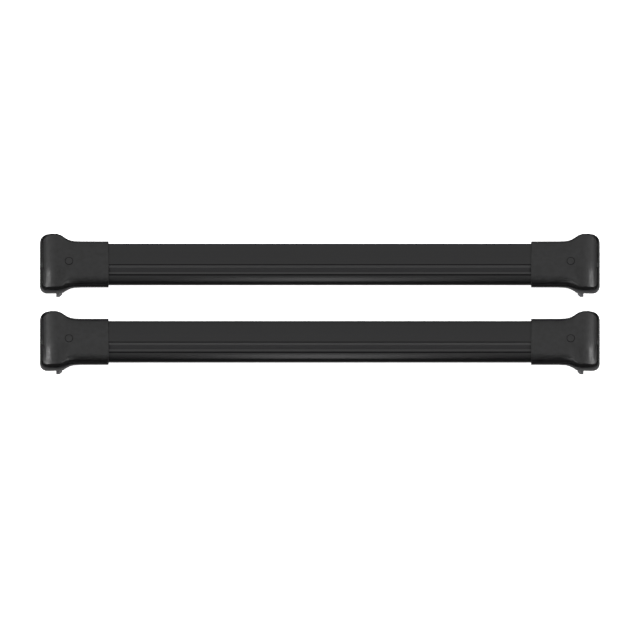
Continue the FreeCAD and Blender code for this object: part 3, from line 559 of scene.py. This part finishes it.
def threaded_bolt_tree():
    """Socket-head bolt that stands on its tip: a helical ridge on a core, a plain shank and a head."""
    tree, given = new_tree("threaded bolt", {
        "Tip": "Vector", "Crest radius": "Float", "Pitch": "Float", "Thread length": "Float",
        "Shank length": "Float", "Head radius": "Float", "Head height": "Float", "Socket radius": "Float",
        "Finish": "Material"})
    threaded, shank_end, head_height = given["Thread length"], given["Shank length"], given["Head height"]
    turns = add(tree, "ShaderNodeMath", {0: threaded, 1: given["Pitch"]}, operation="DIVIDE").outputs[0]
    ridge = add(tree, "ShaderNodeMath", {0: given["Pitch"], 1: THREAD_RIDGE}, operation="MULTIPLY").outputs[0]
    core = add(tree, "ShaderNodeMath", {0: given["Crest radius"], 1: ridge}, operation="SUBTRACT").outputs[0]
    plain = add(tree, "ShaderNodeMath", {0: shank_end, 1: threaded}, operation="SUBTRACT").outputs[0]
    helix = add(tree, "GeometryNodeCurveSpiral", {
        "Resolution": THREAD_STEPS, "Rotations": turns, "Start Radius": core, "End Radius": core,
        "Height": threaded})
    level = add(tree, "GeometryNodeSetCurveNormal", {"Curve": helix.outputs["Curve"]}, mode="Z_UP")
    diamond = add(tree, "GeometryNodeCurvePrimitiveCircle", {"Resolution": 4, "Radius": ridge})
    thread = add(tree, "GeometryNodeCurveToMesh", {
        "Curve": level.outputs["Curve"], "Profile Curve": diamond.outputs["Curve"], "Fill Caps": True})
    inner = add(tree, "GeometryNodeMeshCylinder", {"Vertices": BOLT_SIDES, "Radius": core, "Depth": threaded})
    shank = add(tree, "GeometryNodeMeshCylinder", {
        "Vertices": BOLT_SIDES, "Radius": given["Crest radius"], "Depth": plain})
    head = add(tree, "GeometryNodeMeshCylinder", {
        "Vertices": BOLT_HEAD_SIDES, "Radius": given["Head radius"], "Depth": head_height})
    hexagon = add(tree, "GeometryNodeMeshCylinder", {
        "Vertices": 6, "Radius": given["Socket radius"], "Depth": head_height})
    socket = raised(tree, hexagon.outputs["Mesh"], (head_height, 0.5))
    drilled = add(tree, "GeometryNodeMeshBoolean", {"Mesh 1": head.outputs["Mesh"], "Mesh 2": socket},
                  operation="DIFFERENCE")
    whole = add(tree, "GeometryNodeJoinGeometry", {"Geometry": (
        thread.outputs["Mesh"],
        raised(tree, inner.outputs["Mesh"], (threaded, 0.5)),
        raised(tree, shank.outputs["Mesh"], (threaded, 0.5), (shank_end, 0.5)),
        raised(tree, drilled.outputs["Mesh"], (shank_end, 1.0), (head_height, 0.5)))})
    placed = add(tree, "GeometryNodeTransform", {
        "Geometry": whole.outputs["Geometry"], "Translation": given["Tip"]})
    end_tree(tree, placed.outputs["Geometry"], given["Finish"])
    return tree


def pan_screw_tree():
    """Two pan-head screws, heads down, with a cross recess in each head."""
    tree, given = new_tree("pan screws", {
        "First": "Vector", "Second": "Vector", "Head radius": "Float", "Head height": "Float",
        "Shank radius": "Float", "Shank length": "Float", "Recess": "Vector", "Recess turned": "Vector",
        "Finish": "Material"})
    face = add(tree, "ShaderNodeMath", {0: given["Head radius"], 1: PAN_FACE}, operation="MULTIPLY")
    head = add(tree, "GeometryNodeMeshCone", {
        "Vertices": PAN_SIDES, "Radius Bottom": face.outputs[0], "Radius Top": given["Head radius"],
        "Depth": given["Head height"]})
    arm = add(tree, "GeometryNodeMeshCube", {"Size": given["Recess"]})
    cross_arm = add(tree, "GeometryNodeMeshCube", {"Size": given["Recess turned"]})
    notched = add(tree, "GeometryNodeMeshBoolean", {
        "Mesh 1": head.outputs["Mesh"], "Mesh 2": (arm.outputs["Mesh"], cross_arm.outputs["Mesh"])},
        operation="DIFFERENCE")
    shank = add(tree, "GeometryNodeMeshCylinder", {
        "Vertices": SCREW_SIDES, "Radius": given["Shank radius"], "Depth": given["Shank length"]})
    stem = raised(tree, shank.outputs["Mesh"], (given["Head height"], 1.0), (given["Shank length"], 0.5))
    screw = add(tree, "GeometryNodeJoinGeometry", {"Geometry": (notched.outputs["Mesh"], stem)})
    row = add(tree, "GeometryNodeMeshLine", {
        "Count": 2, "Start Location": given["First"], "Offset": given["Second"]}, mode="END_POINTS")
    screws = add(tree, "GeometryNodeInstanceOnPoints", {
        "Points": row.outputs["Mesh"], "Instance": screw.outputs["Geometry"]})
    end_tree(tree, screws.outputs["Instances"], given["Finish"])
    return tree


def bolt_values(low, high, finish):
    """Inputs of the bolt's tree that fit it to the box of its CAD node."""
    s = sizes()
    middle = (low + high) / 2
    return {
        "Tip": (middle.x, middle.y, low.z), "Crest radius": s.bolt_radius, "Pitch": s.thread_pitch,
        "Thread length": s.thread_length, "Shank length": high.z - low.z - s.bolt_head_height,
        "Head radius": (high.x - low.x) / 2, "Head height": s.bolt_head_height,
        "Socket radius": s.socket_width / 2 / math.cos(HEX_HALF_FLAT), "Finish": finish}


def screw_values(low, high, finish):
    """Inputs of the screws' tree that fit the two to the box of their CAD node. The recess is cut from the
    middle of its arms' height, so they are twice as high as it is deep."""
    s = sizes()
    radius, axis = (high.y - low.y) / 2, (low.y + high.y) / 2
    length, width, height = s.recess_width, s.recess_width * RECESS_ARM, s.recess_depth * 2
    return {
        "First": (low.x + radius, axis, low.z), "Second": (high.x - radius, axis, low.z),
        "Head radius": radius, "Head height": s.screw_head_height, "Shank radius": s.screw_radius,
        "Shank length": high.z - low.z - s.screw_head_height, "Recess": (length, width, height),
        "Recess turned": (width, length, height), "Finish": finish}


class CROSSBARS_OT_fasteners(bpy.types.Operator):
    """Make the threaded bolts and the screws, and plate them with their nuts and washers"""

    bl_idname = "cross_bars.fasteners"
    bl_label = "Fasteners"

    def execute(self, context):
        zinc = zinc_plate()
        made = (
            ("clamp_bolt", threaded_bolt_tree(), bolt_values),
            ("bar_screws", pan_screw_tree(), screw_values))
        for foot in FEET:
            dress(f"{foot}_bolt_washer", zinc)
            dress(f"{foot}_claw_nut", zinc)
            for piece, tree, values in made:
                node = f"{foot}_{piece}"
                fastener = grow(f"{node}_finished", tree, values(*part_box(node), zinc))
                adopt(fastener, node)
        return {"FINISHED"}


def softbox(name, power, box, side=1):
    """A rectangular soft light, turned to the point that it is aimed at; a side of -1 mirrors its place."""
    mirror = Vector((side, 1.0, 1.0))
    place, aim = Vector(box["place"]) * mirror, Vector(box["aim"]) * mirror
    light = bpy.data.lights.new(name, "AREA")
    light.shape = "RECTANGLE"
    light.size, light.size_y = box["size"]
    light.energy = power
    lamp = bpy.data.objects.new(name, light)
    lamp.location = place
    lamp.rotation_mode = "QUATERNION"
    lamp.rotation_quaternion = (aim - place).to_track_quat("-Z", "Y")
    lamp.visible_camera = False
    bpy.context.scene.collection.objects.link(lamp)


def light_table():
    """Matt white floor of a light table, lit from below so that shadows stay faint. It lies just under
    the claws at the end of their travel."""
    joints = frame["record"]["behaviour"]["joints"]
    travel = max(joint["range_m"][1] for joint in joints if "range_m" in joint)
    level = CAD_BOX[0].z - travel - FLOOR_GAP
    corners = [(x * FLOOR_REACH, y * FLOOR_REACH, level) for x, y in ((-1, -1), (1, -1), (1, 1), (-1, 1))]
    mesh = bpy.data.meshes.new("floor")
    mesh.from_pydata(corners, [], [(0, 1, 2, 3)])
    white = linear(colours().floor)
    mesh.materials.append(new_material("light table acrylic", {
        "Base Color": white, "Roughness": 0.9, "Specular IOR Level": 0.0, "Emission Color": white,
        "Emission Strength": studio().floor_glow})[0])
    floor = bpy.data.objects.new("floor", mesh)
    bpy.context.scene.collection.objects.link(floor)
    floor.visible_glossy = False
    floor.visible_diffuse = False


def studio_room():
    """A room with a white sweep over and under the bars and black cloth low in front and behind, for
    their sheen to mirror. The camera itself sees plain white past the floor."""
    world = bpy.data.worlds.new("studio room")
    world.use_nodes = True
    tree = world.node_tree
    tree.nodes.clear()
    place = add(tree, "ShaderNodeTexCoord")
    way = add(tree, "ShaderNodeSeparateXYZ", {"Vector": place.outputs["Generated"]})
    angle = add(tree, "ShaderNodeMath", {0: way.outputs["Y"], 1: way.outputs["Z"]}, operation="ARCTAN2")
    share = add(tree, "ShaderNodeMapRange", {
        "Value": angle.outputs[0], "From Min": -math.pi, "From Max": math.pi})
    ramp = add(tree, "ShaderNodeValToRGB", {"Fac": share.outputs["Result"]})
    while len(ramp.color_ramp.elements) < len(ROOM_LEVELS):
        ramp.color_ramp.elements.new(0.5)
    for stop, (degrees, level) in zip(ramp.color_ramp.elements, ROOM_LEVELS):
        stop.position = (degrees + 180) / 360
        stop.color = (level, level, level, 1.0)
    light = add(tree, "ShaderNodeBackground", {"Color": ramp.outputs["Color"], "Strength": studio().sky})
    backdrop = add(tree, "ShaderNodeBackground", {
        "Color": linear(colours().floor), "Strength": studio().backdrop})
    ray = add(tree, "ShaderNodeLightPath")
    seen = add(tree, "ShaderNodeMixShader", {
        0: ray.outputs["Is Camera Ray"], 1: light.outputs["Background"], 2: backdrop.outputs["Background"]})
    add(tree, "ShaderNodeOutputWorld", {"Surface": seen.outputs["Shader"]})
    return world


class CROSSBARS_OT_studio(bpy.types.Operator):
    """Set up the floor, the soft light and the camera"""

    bl_idname = "cross_bars.studio"
    bl_label = "Studio"

    def execute(self, context):
        scene, values = context.scene, studio()
        light_table()
        scene.world = studio_room()
        softbox("overhead softbox", values.overhead, OVERHEAD_BOX)
        for side in (-1, 1):
            softbox("side softbox", values.side, SIDE_BOX, side)
        softbox("front softbox", values.front, FRONT_BOX)

        camera = bpy.data.objects.new("camera", bpy.data.cameras.new("camera"))
        camera.data.type = "ORTHO"
        camera.data.ortho_scale = values.view_width
        back = Vector((0.0, -math.cos(values.elevation), math.sin(values.elevation)))
        camera.location = Vector((values.aim_x, values.aim_y, 0.0)) + CAMERA_DISTANCE * back
        camera.rotation_mode = "QUATERNION"
        camera.rotation_quaternion = (-back).to_track_quat("-Z", "Y")
        scene.collection.objects.link(camera)
        scene.camera = camera
        scene.view_settings.view_transform = "Standard"
        scene.view_settings.look = "None"
        return {"FINISHED"}


class CROSSBARS_PT_panel(bpy.types.Panel):
    """Lists the steps that dress the bars"""

    bl_idname = "CROSSBARS_PT_panel"
    bl_label = "Cross bars"
    bl_space_type = "VIEW_3D"
    bl_region_type = "UI"
    bl_category = "Cross bars"

    def draw(self, context):
        for step in STEPS:
            self.layout.operator(step.bl_idname)
        for group in (sizes(), colours(), studio()):
            box = self.layout.box()
            for name in group.__annotations__:
                box.prop(group, name)


STEPS = (CROSSBARS_OT_wing_bars, CROSSBARS_OT_slot_strips, CROSSBARS_OT_foot_shells,
         CROSSBARS_OT_rail_clamps, CROSSBARS_OT_fasteners, CROSSBARS_OT_studio)
GROUPS = {"cross_bar_sizes": CrossBarSizes, "cross_bar_colours": CrossBarColours,
          "cross_bar_studio": CrossBarStudio}


def register():
    for group in GROUPS.values():
        bpy.utils.register_class(group)
    for name, group in GROUPS.items():
        setattr(bpy.types.Scene, name, bpy.props.PointerProperty(type=group))
    for step in STEPS:
        bpy.utils.register_class(step)
    bpy.utils.register_class(CROSSBARS_PT_panel)


def unregister():
    bpy.utils.unregister_class(CROSSBARS_PT_panel)
    for step in reversed(STEPS):
        bpy.utils.unregister_class(step)
    for name, group in GROUPS.items():
        delattr(bpy.types.Scene, name)
        bpy.utils.unregister_class(group)


def main():
    register()
    bpy.ops.cross_bars.wing_bars()
    bpy.ops.cross_bars.slot_strips()
    bpy.ops.cross_bars.foot_shells()
    bpy.ops.cross_bars.rail_clamps()
    bpy.ops.cross_bars.fasteners()
    bpy.ops.cross_bars.studio()


if __name__ == "__main__":
    main()
